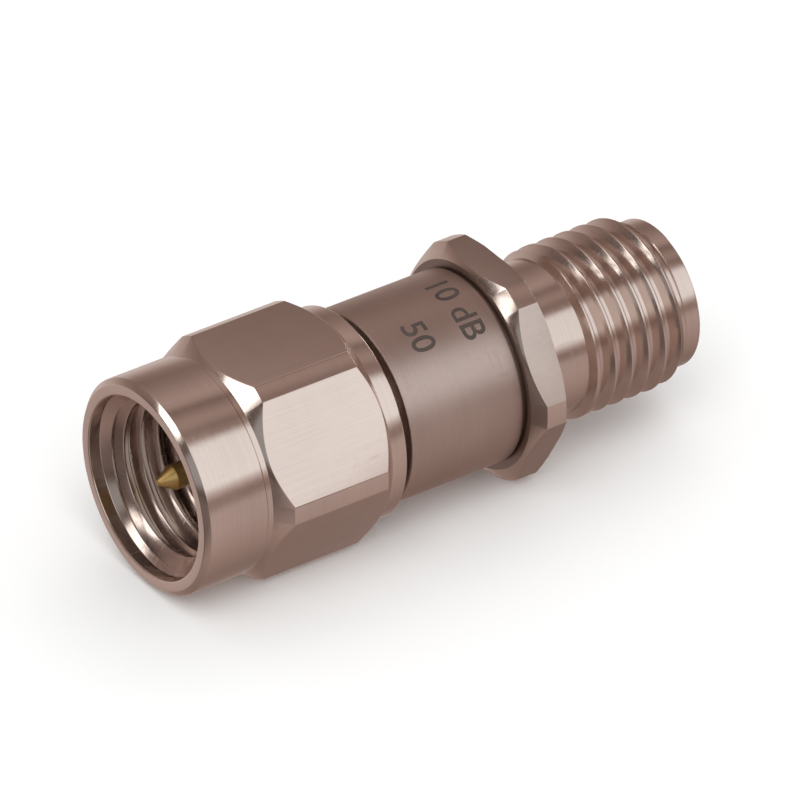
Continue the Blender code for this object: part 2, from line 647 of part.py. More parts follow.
def main():
    clear_scene()
    parts = new_collection("rf_attenuator")
    cutters = new_collection("cutters")
    steel = new_material("stainless_steel", (0.60, 0.52, 0.48), 0.28, 1.0)
    spring = new_material("spring_steel", (0.46, 0.44, 0.43), 0.35, 1.0)
    gold = new_material("gold_plate", (0.90, 0.66, 0.28), 0.22, 1.0)
    brass = new_material("holder_brass", (0.78, 0.60, 0.33), 0.32, 1.0)
    white = new_material("insulator_white", (0.90, 0.89, 0.86), 0.45, 0.0)
    rubber = new_material("gasket_rubber", (0.30, 0.12, 0.09), 0.60, 0.0)
    ceramic = new_material("card_ceramic", (0.86, 0.85, 0.82), 0.40, 0.0)
    resistive = new_material("resistive_film", (0.08, 0.08, 0.09), 0.50, 0.2)
    silver = new_material("terminal_silver", (0.80, 0.78, 0.74), 0.30, 1.0)

    body_axis = new_axis("connector_axis", parts, 0)
    nut_axis = new_axis("nut_axis", parts, 0, body_axis)
    plug_axis = new_axis("plug_contact_plane", parts, PLUG_PLANE, body_axis)
    jack_axis = new_axis("jack_contact_plane", parts, JACK_PLANE, body_axis, turned_back=True)

    coupling_nut(parts, cutters, nut_axis, steel)
    retaining_ring(parts, cutters, nut_axis, spring)
    nut_gasket(parts, nut_axis, rubber)
    plug_shell(parts, body_axis, steel)
    insulators("plug", parts, plug_axis, SHELL_REAR - PLUG_PLANE, white)
    plug_pin(parts, cutters, plug_axis, gold)
    barrel_sleeve(parts, body_axis, steel)
    card_holder("card_holder_upper", 1, parts, cutters, body_axis, brass)
    card_holder("card_holder_lower", -1, parts, cutters, body_axis, brass)
    attenuator_card(parts, body_axis, ceramic, resistive, silver)
    wave_washer(parts, body_axis, spring)
    jack_body(parts, cutters, body_axis, steel)
    insulators("jack", parts, jack_axis, JACK_PLANE - SPIGOT_FRONT, white)
    jack_socket(parts, cutters, jack_axis, gold)


main()
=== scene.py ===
import math

import bmesh
import bpy
from mathutils import Matrix, Vector


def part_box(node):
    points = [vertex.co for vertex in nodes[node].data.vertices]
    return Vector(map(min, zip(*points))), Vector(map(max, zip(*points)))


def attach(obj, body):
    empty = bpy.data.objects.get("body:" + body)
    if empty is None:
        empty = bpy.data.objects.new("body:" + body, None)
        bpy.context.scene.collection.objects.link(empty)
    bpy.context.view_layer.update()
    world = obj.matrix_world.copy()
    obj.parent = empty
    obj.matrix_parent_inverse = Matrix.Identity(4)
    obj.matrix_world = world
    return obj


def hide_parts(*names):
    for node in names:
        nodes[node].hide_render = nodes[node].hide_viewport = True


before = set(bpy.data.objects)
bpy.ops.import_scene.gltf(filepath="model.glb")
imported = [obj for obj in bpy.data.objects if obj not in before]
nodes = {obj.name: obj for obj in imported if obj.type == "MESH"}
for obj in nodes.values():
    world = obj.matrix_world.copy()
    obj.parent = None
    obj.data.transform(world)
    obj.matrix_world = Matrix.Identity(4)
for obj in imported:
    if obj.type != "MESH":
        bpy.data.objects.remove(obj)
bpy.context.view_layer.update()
print("frame loaded,", len(nodes), "solids")

mm = 0.001
weld = 1e-7                                   # points closer than this are one point
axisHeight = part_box("coupling_nut")[1].z / 2  # the connector's axis over the bench
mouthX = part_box("coupling_nut")[0].x          # stations count from here, in mm
axisCentre = Vector((0, 0, axisHeight))
alongX = Vector((1, 0, 0))
hexAngles = [60 * side for side in range(6)]  # flats face up, down and to four sides


# Camera

camera = {
    "azimuth": -34.6,
    "elevation": 33.83,
    "distance": 0.6,
    "lens": 778.7,
    "sensor": 36,
    "aimRight": -0.049 * mm,
    "aimUp": -0.365 * mm,
}


def placeCamera(spec):
    a = math.radians(spec["azimuth"])
    e = math.radians(spec["elevation"])
    back = Vector((math.sin(a) * math.cos(e), -math.cos(a) * math.cos(e), math.sin(e)))
    right = Vector((math.cos(a), math.sin(a), 0))
    up = back.cross(right)
    aim = axisCentre + right * spec["aimRight"] + up * spec["aimUp"]
    data = bpy.data.cameras.new("studioCamera")
    data.lens = spec["lens"]
    data.sensor_width = spec["sensor"]
    data.clip_start = 0.01
    data.clip_end = 20
    view = bpy.data.objects.new("studioCamera", data)
    view.matrix_world = Matrix((right, up, back)).transposed().to_4x4()
    view.location = aim + back * spec["distance"]
    bpy.context.scene.collection.objects.link(view)
    bpy.context.scene.camera = view


placeCamera(camera)
print("camera placed")


# Shader wiring: a Wire is one output socket, and arithmetic on it adds Math nodes

class Wire:
    def __init__(self, tree, socket=None):
        self.tree = tree
        self.socket = socket

    def node(self, kind, settings=None, inputs=None, out=0):
        made = self.tree.nodes.new("ShaderNode" + kind)
        for key, value in (settings or {}).items():
            if key == "stops":
                fillRamp(made.color_ramp, value)
            else:
                setattr(made, key, value)
        for key, value in (inputs or {}).items():
            if isinstance(value, Wire):
                self.tree.links.new(value.socket, made.inputs[key])
            else:
                made.inputs[key].default_value = value
        return Wire(self.tree, made.outputs[out])

    def maths(self, operation, first, second=0.0):
        return self.node("Math", {"operation": operation}, {0: first, 1: second})

    def __add__(self, other):
        return self.maths("ADD", self, other)

    def __radd__(self, other):
        return self.maths("ADD", other, self)

    def __sub__(self, other):
        return self.maths("SUBTRACT", self, other)

    def __rsub__(self, other):
        return self.maths("SUBTRACT", other, self)

    def __mul__(self, other):
        return self.maths("MULTIPLY", self, other)

    def __rmul__(self, other):
        return self.maths("MULTIPLY", other, self)

    def ranged(self, low, high, start=0.0, end=1.0):
        inputs = {"Value": self, "From Min": low, "From Max": high, "To Min": start, "To Max": end}
        return self.node("MapRange", {"clamp": True}, inputs)

    def mixed(self, first, second):
        colours = {0: self, 6: colour(first), 7: colour(second)}
        return self.node("Mix", {"data_type": "RGBA"}, colours, out=2)


def colour(value):
    return value if isinstance(value, Wire) else (*value, 1.0)


def fillRamp(ramp, stops):
    while len(ramp.elements) < len(stops):
        ramp.elements.new(1.0)
    for element, (position, shade) in zip(ramp.elements, stops):
        element.position = position
        element.color = (*shade, 1.0)


# Studio: pale floor, white surroundings, soft lamps, and a light tent that only metal sees

studio = {
    "floorSize": 3.0,
    "floorColour": (0.96, 0.96, 0.957),
    "floorDrop": 0.00001,
    "fill": 0.78,
    "keyPower": 1.6,
    "keySize": 0.5,
    "keyPlace": (-0.22, -0.30, 0.50),
    "rimPower": 0.5,
    "rimPlace": (0.35, 0.30, 0.40),
    "tentRadius": 0.30,
    "tentHalfLength": 1.2,
    "tentSteps": 120,
    "lampShare": 0.93,                          # lamp faces hang this far out in the tent
    "warm": (1.0, 0.73, 0.64),
}

# Brightness round the tent, by degrees from straight up towards the camera's side
tentBands = [
    (-130, 0.52), (-121, 0.55), (-107, 0.66), (-93, 0.54), (-79, 0.33), (-65, 0.25), (-50, 0.31), (-24, 0.47),
    (-16, 0.42), (-10, 0.22), (-3, 0.33), (5, 0.42), (10, 0.38), (16, 0.27), (25, 0.36), (32, 1.0), (74, 1.05),
    (80, 0.62), (86, 0.34), (92, 0.30), (101, 0.52), (118, 0.52), (135, 0.47), (160, 0.38), (180, 0.30),
    (195, 0.28), (215, 0.34), (230, 0.52),
]

# Small bright lamp faces inside the tent: x and angle ranges, and brightness
lampFaces = {
    "plugLamp": ((-0.50, -0.18), (-36, 4), 2.4),       # glints on cones that face the plug's end
    "farPlugLamp": ((-1.15, -0.58), (-44, -14), 2.6),  # glint on the flange's front cone
    "farJackLamp": ((0.45, 1.10), (-76, -52), 3.2),    # thread flanks, which see it in the flange's rear face
}


def glossyOnly(thing):
    thing.visible_camera = False
    thing.visible_diffuse = False
    thing.visible_transmission = False
    thing.visible_shadow = False
    thing.visible_volume_scatter = False


def link(name, form, materials):
    mesh = bpy.data.meshes.new(name)
    form.to_mesh(mesh)
    form.free()
    for material in materials:
        mesh.materials.append(material)
    made = bpy.data.objects.new(name, mesh)
    bpy.context.scene.collection.objects.link(made)
    return made


def newMaterial(name):
    material = bpy.data.materials.new(name)
    material.use_nodes = True
    material.node_tree.nodes.clear()
    return material, Wire(material.node_tree)


def output(wire, shader):
    end = wire.tree.nodes.new("ShaderNodeOutputMaterial")
    wire.tree.links.new(shader.socket, end.inputs["Surface"])


def bandColour(level):
    # dim parts of the tent are warm, bright ones neutral
    tint = min(1.0, max(0.0, (level - 0.35) / 0.6))
    return [level * (warm + (1 - warm) * tint) for warm in studio["warm"]]


def makeStudio(spec):
    form = bmesh.new()
    bmesh.ops.create_grid(form, x_segments=1, y_segments=1, size=spec["floorSize"] / 2)
    bmesh.ops.translate(form, vec=(0, 0, -spec["floorDrop"]), verts=form.verts)
    paper, wire = newMaterial("palePaper")
    output(wire, wire.node("BsdfPrincipled", {}, {
        "Base Color": colour(spec["floorColour"]), "Roughness": 0.9, "Specular IOR Level": 0.0,
    }))
    floor = link("floor", form, [paper])
    floor.visible_glossy = False

    world = bpy.data.worlds.new("whiteRoom")
    world.use_nodes = True
    world.node_tree.nodes.clear()
    room = Wire(world.node_tree)
    path = world.node_tree.nodes.new("ShaderNodeLightPath")
    seen = Wire(world.node_tree, path.outputs["Is Camera Ray"])
    for ray in ("Is Glossy Ray", "Is Transmission Ray"):
        seen = seen.maths("MAXIMUM", seen, Wire(world.node_tree, path.outputs[ray]))
    light = room.node("Background", {}, {"Color": (1, 1, 1, 1), "Strength": seen.ranged(0, 1, spec["fill"], 1.0)})
    end = world.node_tree.nodes.new("ShaderNodeOutputWorld")
    world.node_tree.links.new(light.socket, end.inputs["Surface"])
    bpy.context.scene.world = world

    for name, power, place in (
        ("keyLamp", spec["keyPower"], spec["keyPlace"]),
        ("rimLamp", spec["rimPower"], spec["rimPlace"]),
    ):
        data = bpy.data.lights.new(name, "AREA")
        data.energy = power
        data.size = spec["keySize"]
        lamp = bpy.data.objects.new(name, data)
        lamp.location = place
        lamp.rotation_euler = (Vector(place) - axisCentre).to_track_quat("Z", "Y").to_euler()
        lamp.visible_glossy = False
        bpy.context.scene.collection.objects.link(lamp)


def makeTent(spec):
    form = bmesh.new()
    half = spec["tentHalfLength"]
    ends = [form.verts.new((x, 0, spec["tentRadius"])) for x in (-half, half)]
    line = [form.edges.new(ends)]
    bmesh.ops.spin(
        form, geom=ends + line, cent=(0, 0, 0), axis=(1, 0, 0), angle=2 * math.pi,
        steps=spec["tentSteps"], use_merge=True, use_duplicate=False,
    )
    cloth, wire = newMaterial("tentCloth")
    place = wire.node("TexCoord", out="Object")
    parts = wire.node("SeparateXYZ", {}, {0: place}).socket.node
    y, z = Wire(wire.tree, parts.outputs["Y"]), Wire(wire.tree, parts.outputs["Z"])
    turned = wire.maths("ARCTAN2", -1.0 * y, z) * (180 / math.pi)
    first, last = tentBands[0][0], tentBands[-1][0]
    wrapped = turned + 360.0 * wire.maths("LESS_THAN", turned, first)
    stops = [((angle - first) / (last - first), bandColour(level)) for angle, level in tentBands]
    shade = wire.node("ValToRGB", {"stops": stops}, {"Fac": wrapped.ranged(first, last)})
    x = Wire(wire.tree, parts.outputs["X"])
    output(wire, wire.node("Emission", {}, {"Color": shade, "Strength": x.ranged(-0.34, -0.20, 0.38, 1.0)}))
    tent = link("lightTent", form, [cloth])
    tent.location = axisCentre
    glossyOnly(tent)

    # the tent's ends, dim at the plug's side
    for name, x, level in (("tentEndPlug", -half, 0.14), ("tentEndJack", half, 0.45)):
        form = bmesh.new()
        bmesh.ops.create_circle(form, cap_ends=True, segments=48, radius=spec["tentRadius"])
        bmesh.ops.rotate(form, matrix=Matrix.Rotation(math.pi / 2, 3, "Y"), verts=form.verts)
        bmesh.ops.translate(form, vec=(x, 0, axisHeight), verts=form.verts)
        cover, wire = newMaterial(name)
        output(wire, wire.node("Emission", {}, {"Color": colour(bandColour(level)), "Strength": 1.0}))
        disc = link(name, form, [cover])
        glossyOnly(disc)


def makeLampFace(name, along, angles, glow):
    form = bmesh.new()
    radius = studio["tentRadius"] * studio["lampShare"]
    first = Matrix.Rotation(math.radians(angles[0]), 3, "X")
    ends = [form.verts.new(first @ Vector((x, 0, radius))) for x in along]
    line = [form.edges.new(ends)]
    bmesh.ops.spin(
        form, geom=ends + line, cent=(0, 0, 0), axis=(1, 0, 0), angle=math.radians(angles[1] - angles[0]),
        steps=12, use_merge=False, use_duplicate=False,
    )
    bmesh.ops.translate(form, vec=axisCentre, verts=form.verts)
    shine, wire = newMaterial(name)
    output(wire, wire.node("Emission", {}, {"Color": (1.0, 0.98, 0.95, 1.0), "Strength": glow}))
    face = link(name, form, [shine])
    glossyOnly(face)


makeStudio(studio)
makeTent(studio)
for lampName, (lampAlong, lampAngles, lampGlow) in lampFaces.items():
    makeLampFace(lampName, lampAlong, lampAngles, lampGlow)
bpy.context.scene.view_settings.view_transform = "Standard"
print("studio lit")


# Finishes

def objectPlace(wire, scale, turn=(0, 0, 0)):
    place = wire.node("TexCoord", out="Object")
    return wire.node("Mapping", {}, {"Vector": place, "Rotation": turn, "Scale": scale})


def noise(wire, scale, detail=2.0, roughness=0.5, turn=(0, 0, 0)):
    place = objectPlace(wire, scale, turn)
    return wire.node("TexNoise", {}, {"Vector": place, "Scale": 1.0, "Detail": detail, "Roughness": roughness})


def principled(wire, base, roughness, bump=None, metallic=1.0, **more):
    inputs = {"Base Color": base, "Roughness": roughness, "Metallic": metallic, **more}
    if bump is not None:
        inputs["Normal"] = bump
    return wire.node("BsdfPrincipled", {}, inputs)


def shaded(shade, factor):
    return tuple(part * factor for part in shade)


# The tool's lines run round a turned surface, and along a flat. Scales are in cycles a metre.
steel = {
    "nut": (0.745, 0.638, 0.584),
    # painted shade: the bore's steel is a little darker than the outside, for the shade inside the mouth
    "bore": (0.66, 0.55, 0.50),
    "barrel": (0.58, 0.474, 0.428),
    "jack": (0.72, 0.612, 0.56),
    "jackFlat": (0.60, 0.51, 0.465),
    # painted shade: a darker steel for the flange's front face and shoulder, where the barrel shades them and is
    # reflected dark in them
    "jackFacePaintedShade": (0.34, 0.27, 0.24),
    "spring": (0.46, 0.44, 0.43),
    "turnedLines": (21000, 90, 90),
    "drawnLines": (260, 14000, 14000),
    "lineHeight": 0.0000004,
    "blotch": (420, 420, 420),
    "scratchHeight": 0.0000010,
}


def steelFinish(name, base, roughness, lines, lineStrength=1.0, stain=0.10):
    material, wire = newMaterial(name)
    grain = noise(wire, lines, detail=3.0, roughness=0.6)
    cloud = noise(wire, steel["blotch"], detail=3.0)
    speck = noise(wire, (5200, 5200, 5200), detail=2.0)
    scratchA = noise(wire, (9000, 500, 700), turn=(0.3, 0.5, 0.9)).ranged(0.66, 0.72)
    scratchB = noise(wire, (600, 9500, 500), turn=(0.8, 0.2, -0.6)).ranged(0.67, 0.73)
    dull = cloud.ranged(0.35, 0.65)
    tint = dull.mixed(shaded(base, 1 - stain), base)
    worn = grain.ranged(0.3, 0.7).mixed(shaded(base, 1 - stain), shaded(base, 1.0))
    blend = wire.node("Mix", {"data_type": "RGBA"}, {0: 0.5, 6: tint, 7: worn}, out=2)
    rough = roughness + 0.05 * dull + 0.10 * (scratchA + scratchB) + 0.04 * speck.ranged(0.4, 0.7)
    fine = wire.node("Bump", {}, {
        "Strength": lineStrength, "Distance": steel["lineHeight"], "Height": grain,
    })
    marks = wire.node("Bump", {}, {
        "Strength": 0.15, "Distance": steel["scratchHeight"], "Height": 0.0 - (scratchA + scratchB), "Normal": fine,
    })
    output(wire, principled(wire, blend, rough, marks))
    return material


# Metal plating, plastics, rubber and fired films: a base colour, a darker one in the mottles, and a grain
coatings = {
    "goldPlate": {"base": (0.60, 0.43, 0.17), "deep": (0.48, 0.33, 0.12), "rough": 0.32, "metal": 1.0,
                  "grain": (9000, 2500, 2500), "height": 0.0000005},
    "holderBrass": {"base": (0.78, 0.60, 0.33), "deep": (0.60, 0.43, 0.20), "rough": 0.30, "metal": 1.0,
                    "grain": (16000, 120, 120), "height": 0.0000008},
    "fluoroPlastic": {"base": (0.88, 0.87, 0.84), "deep": (0.80, 0.78, 0.73), "rough": 0.42, "metal": 0.0,
                      "grain": (5200, 900, 900), "height": 0.0000012},
    "gasketRubber": {"base": (0.32, 0.12, 0.09), "deep": (0.22, 0.07, 0.05), "rough": 0.62, "metal": 0.0,
                     "grain": (7000, 7000, 7000), "height": 0.0000025},
    "cardCeramic": {"base": (0.86, 0.85, 0.82), "deep": (0.76, 0.74, 0.70), "rough": 0.45, "metal": 0.0,
                    "grain": (11000, 11000, 11000), "height": 0.0000012},
    "resistiveFilm": {"base": (0.09, 0.09, 0.10), "deep": (0.045, 0.045, 0.05), "rough": 0.50, "metal": 0.2,
                      "grain": (8000, 26000, 8000), "height": 0.0000010},
    "terminalSilver": {"base": (0.80, 0.78, 0.74), "deep": (0.66, 0.63, 0.57), "rough": 0.34, "metal": 1.0,
                       "grain": (15000, 15000, 15000), "height": 0.0000010},
    "etchedMark": {"base": (0.10, 0.075, 0.065), "deep": (0.055, 0.042, 0.038), "rough": 0.62, "metal": 0.3,
                   "grain": (24000, 24000, 24000), "height": 0.0000010},
}


def coatingFinish(name, spec):
    material, wire = newMaterial(name)
    grain = noise(wire, spec["grain"], detail=3.0, roughness=0.6)
    cloud = noise(wire, (900, 900, 900), detail=3.0)
    shade = (0.5 * grain + 0.5 * cloud).ranged(0.38, 0.60).mixed(spec["deep"], spec["base"])
    rough = spec["rough"] + 0.12 * cloud.ranged(0.35, 0.65) - 0.05
    bump = wire.node("Bump", {}, {"Strength": 0.8, "Distance": spec["height"], "Height": grain})
    output(wire, principled(wire, shade, rough, bump, metallic=spec["metal"]))
    return material


finishes = {
    "nutTurned": steelFinish("nutTurned", steel["nut"], 0.10, steel["turnedLines"], 0.7),
    "nutFlat": steelFinish("nutFlat", steel["nut"], 0.08, steel["drawnLines"], 0.6),
    "nutBorePaintedShade": steelFinish("nutBorePaintedShade", steel["bore"], 0.16, steel["turnedLines"], 1.0),
    "barrelTurned": steelFinish("barrelTurned", steel["barrel"], 0.38, steel["turnedLines"], 1.2, 0.12),
    "jackTurned": steelFinish("jackTurned", steel["jack"], 0.13, steel["turnedLines"], 0.8),
    "jackFlat": steelFinish("jackFlat", steel["jackFlat"], 0.26, steel["drawnLines"], 1.0),
    # painted shade between the barrel and the flange, on the flange's front face and shoulder
    "jackFacePaintedShade": steelFinish("jackFacePaintedShade", steel["jackFacePaintedShade"], 0.34, steel["turnedLines"], 1.0),
    "springSteel": steelFinish("springSteel", steel["spring"], 0.24, steel["turnedLines"]),
}
for coatingName, coating in coatings.items():
    finishes[coatingName] = coatingFinish(coatingName, coating)
print("finishes mixed,", len(finishes))


# Modelling helpers

roundSides = 192
dihedralLimit = math.radians(28)


def onAxis(radius, station, angle=0.0):
    # angle runs from straight up towards the camera's side, in degrees
    turn = math.radians(angle)
    x = mouthX + station * mm
    return Vector((x, -math.sin(turn) * radius * mm, axisHeight + math.cos(turn) * radius * mm))


def axisRadius(point):
    return math.hypot(point.y, point.z - axisHeight) / mm


def rounded(corners, segments=4):
    # corners are (radius, station) or (radius, station, rounding), and the rounding is an arc-like curve
    points = []
    for place, corner in enumerate(corners):
        here = Vector(corner[:2])
        if len(corner) < 3:
            points.append(here)
            continue
        before = Vector(corners[place - 1][:2]) - here
        after = Vector(corners[(place + 1) % len(corners)][:2]) - here
        reach = corner[2] / math.tan(before.angle(after) / 2)
        start = here + before.normalized() * reach
        end = here + after.normalized() * reach
        for step in range(segments + 1):
            share = step / segments
            points.append(start.lerp(here, share).lerp(here.lerp(end, share), share))
    return points


def turned(corners, sides=roundSides, segments=4):
    # an outline that starts on the axis also ends there, and makes a solid without a bore
    form = bmesh.new()
    points = [form.verts.new(onAxis(point[0], point[1])) for point in rounded(corners, segments)]
    edges = [form.edges.new(points[i:i + 2]) for i in range(len(points) - 1)]
    if corners[0][0] > 0:
        edges.append(form.edges.new((points[-1], points[0])))
    bmesh.ops.spin(
        form, geom=points + edges, cent=axisCentre, axis=alongX, angle=2 * math.pi, steps=sides,
        use_merge=True, use_duplicate=False,
    )
    bmesh.ops.remove_doubles(form, verts=form.verts, dist=weld)
    bmesh.ops.recalc_face_normals(form, faces=form.faces)
    return form


def cutFlats(form, radius, softness, slot):
    # six cuts parallel to the axis, each closed with a flat face whose rim is then softened
    flats = []
    for angle in hexAngles:
        outward = onAxis(1, 0, angle) - onAxis(0, 0)
        outward.normalize()
        everything = form.verts[:] + form.edges[:] + form.faces[:]
        cut = bmesh.ops.bisect_plane(
            form, geom=everything, dist=weld, plane_co=onAxis(radius, 0, angle), plane_no=outward,
            clear_outer=True,
        )
        rim = [part for part in cut["geom_cut"] if isinstance(part, bmesh.types.BMEdge)]
        flats += bmesh.ops.edgeloop_fill(form, edges=rim)["faces"]
    bmesh.ops.recalc_face_normals(form, faces=form.faces)
    rims = list({edge for flat in flats for edge in flat.edges})
    for flat in flats:
        flat.material_index = slot
    bmesh.ops.bevel(
        form, geom=rims, offset=softness * mm, affect="EDGES", segments=2, profile=0.5, material=-1,
        offset_type="OFFSET", clamp_overlap=True,
    )


def threadTool(name, spec, slot):
    # the groove of a thread as a solid: its section is swept round and along the axis together
    root, crest = spec["root"], spec["crest"]
    outward = 1 if crest > root else -1
    slope = math.tan(math.radians(spec["flank"]))
    flat = spec["flat"] / 2
    deep = abs(crest - root)
    lip = spec["lip"]                                # the crest's edges are broken over this width
    brink = flat + deep * slope
    side = [
        (0, flat * 0.7),
        (flat * 0.4, flat),
        (deep - lip * 0.87, brink - lip * 0.5),
        (deep - lip * 0.2, brink + lip * 0.15),
        (deep + lip * 0.2, brink + lip * 1.3),
        (deep + spec["past"], brink + lip * 1.3),
    ]
    section = [(root + outward * rise, -half) for rise, half in side]
    section += [(root + outward * rise, half) for rise, half in reversed(side)]
    form = bmesh.new()
    start = spec["start"]
    corners = [form.verts.new(onAxis(radius, start + shift, 180)) for radius, shift in section]
    face = form.faces.new(corners)
    steps = round(spec["turns"] * roundSides)
    bmesh.ops.spin(
        form, geom=[face], cent=axisCentre, axis=alongX, dvec=alongX * (spec["pitch"] * mm / roundSides),
        angle=2 * math.pi * spec["turns"], steps=steps, use_merge=False,
    )
    form.verts.index_update()
    for vert in form.verts:
        turn = vert.index // len(section) / roundSides
        if turn < spec["runOut"]:
            lift = 1 - turn / spec["runOut"]
            stretch = 1 + lift * (crest - root) / root
            vert.co.y *= stretch
            vert.co.z = axisHeight + (vert.co.z - axisHeight) * stretch
    for made in form.faces:
        made.material_index = slot
    bmesh.ops.recalc_face_normals(form, faces=form.faces)
    return link(name, form, [])


def carve(piece, tools):
    # the cutters are used up, and the piece keeps only its final mesh
    for tool in tools:
        step = piece.modifiers.new(tool.name, "BOOLEAN")
        step.operation = "DIFFERENCE"
        step.solver = "EXACT"
        step.object = tool
    ready = piece.evaluated_get(bpy.context.evaluated_depsgraph_get())
    mesh = bpy.data.meshes.new_from_object(ready)
    piece.modifiers.clear()
    old = piece.data
    piece.data = mesh
    bpy.data.meshes.remove(old)
    for tool in tools:
        bpy.data.objects.remove(tool, do_unlink=True)


def seat(piece, body, node):
    piece.data.shade_smooth()
    piece.data.set_sharp_from_angle(angle=dihedralLimit)
    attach(piece, body)
    if node:
        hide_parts(node)
    print("made", piece.name, len(piece.data.polygons), "faces")


# Coupling nut

nut = {
    "nose": 3.96, "flat": 4.0, "corner": 4.43, "band": 3.89, "length": 8.37,
    "noseEnd": 2.50, "hexEnd": 7.21, "grooveDeep": 0.08, "grooveWide": 0.20,
    "lipChamfer": 0.20, "mouth": 3.38, "counterbore": 3.22, "mouthDeep": 0.62,
    "crest": 2.83, "root": 3.175, "relief": 3.27, "shoulder": 5.45, "gasketFront": 4.93,
    "bore": 2.66, "ringSeat": 3.03, "ringFront": 6.34, "ringRear": 6.78,
    "threadStart": 0.04,                        # first groove, behind the mouth's plain stretch
    "thread": {"pitch": 25.4 / 36, "flank": 30, "flat": 0.09, "lip": 0.03, "past": 0.06, "runOut": 0.1},
}


def makeNut(spec):
    groove = spec["nose"] - spec["grooveDeep"]
    coneFront = spec["noseEnd"] + spec["grooveDeep"] + spec["grooveWide"]
    coneRear = spec["mouthDeep"] + spec["counterbore"] - spec["crest"]
    corners = [
        (spec["nose"] - spec["lipChamfer"], 0, 0.05),
        (spec["nose"], spec["lipChamfer"], 0.08),
        (spec["nose"], spec["noseEnd"], 0.015),
        (groove, spec["noseEnd"] + spec["grooveDeep"]),
        (groove, coneFront),
        (spec["corner"], coneFront + spec["corner"] - groove, 0.06),
        (spec["corner"], spec["hexEnd"], 0.06),
        (spec["band"], spec["hexEnd"] + spec["corner"] - spec["band"]),
        (spec["band"], spec["length"], 0.07),
        (spec["bore"] + 0.08, spec["length"]),
        (spec["bore"], spec["length"] - 0.08),
        (spec["bore"], spec["ringRear"]),
        (spec["ringSeat"], spec["ringRear"]),
        (spec["ringSeat"], spec["ringFront"]),
        (spec["bore"], spec["ringFront"]),
        (spec["bore"], spec["shoulder"]),
        (spec["relief"], spec["shoulder"]),
        (spec["relief"], spec["gasketFront"] - 0.05),
        (spec["crest"], spec["gasketFront"] - 0.05 - spec["relief"] + spec["crest"]),
        (spec["crest"], coneRear, 0.03),
        (spec["mouth"], coneRear + spec["crest"] - spec["mouth"], 0.05),
        (spec["mouth"], 0, 0.05),
    ]
    form = turned(corners)
    # faces inside the mouth take slot 2, the bore's steel, whose darker colour paints a little shade there
    inside = (mouthX + 0.06 * mm, mouthX + spec["length"] * mm - weld)
    for face in form.faces:
        middle = face.calc_center_median()
        if axisRadius(middle) < spec["mouth"] + 0.01 and inside[0] < middle.x < inside[1]:
            face.material_index = 2
    cutFlats(form, spec["flat"], 0.035, 1)
    piece = link("couplingNut", form, [finishes["nutTurned"], finishes["nutFlat"], finishes["nutBorePaintedShade"]])
    pitch = spec["thread"]["pitch"]
    start = spec["mouthDeep"] + spec["threadStart"] - pitch
    turns = math.ceil((spec["gasketFront"] - start) / pitch * 4) / 4
    cut = {**spec["thread"], "root": spec["root"], "crest": spec["crest"], "start": start, "turns": turns}
    carve(piece, [threadTool("nutThreadTool", cut, 2)])
    seat(piece, "nut", "coupling_nut")


makeNut(nut)


# Barrel

barrel = {"front": 8.78, "rear": 13.46, "frontRound": 0.10, "radius": 3.58, "bore": 3.0, "round": 0.06}


def makeBarrel(spec):
    corners = [
        (spec["radius"], spec["front"], spec["frontRound"]),
        (spec["radius"], spec["rear"], spec["round"]),
        (spec["bore"], spec["rear"]),
        (spec["bore"], spec["front"]),
    ]
    form = turned(corners)
    piece = link("barrelCase", form, [finishes["barrelTurned"]])
    seat(piece, "housing", "barrel_sleeve")


makeBarrel(barrel)


# Jack body: flange, neck, thread and pilot

jack = {
    "spigot": 2.98, "spigotFront": 12.60, "shoulder": 3.46, "shoulderFront": 13.48,
    "flangeFront": 13.56, "flangeRear": 14.86, "flangeFace": 3.85, "corner": 4.38, "flat": 4.0,
    "chamfer": 0.37, "rearChamfer": 0.14, "rearFall": 0.30, "neck": 2.84, "threadFront": 16.75,
    "crest": 3.13, "root": 2.74, "leadFront": 20.45, "pilotFront": 20.97, "pilot": 2.72, "end": 21.58,
    "mouth": 2.30, "mouthChamfer": 0.15, "plane": 19.68, "bore": 2.05, "step": 16.83, "rearBore": 1.75,
    "threadStart": 0.09,                        # first groove, behind the neck
    "thread": {"pitch": 25.4 / 36, "flank": 30, "flat": 0.17, "lip": 0.02, "past": 0.06, "runOut": 0.5},
}


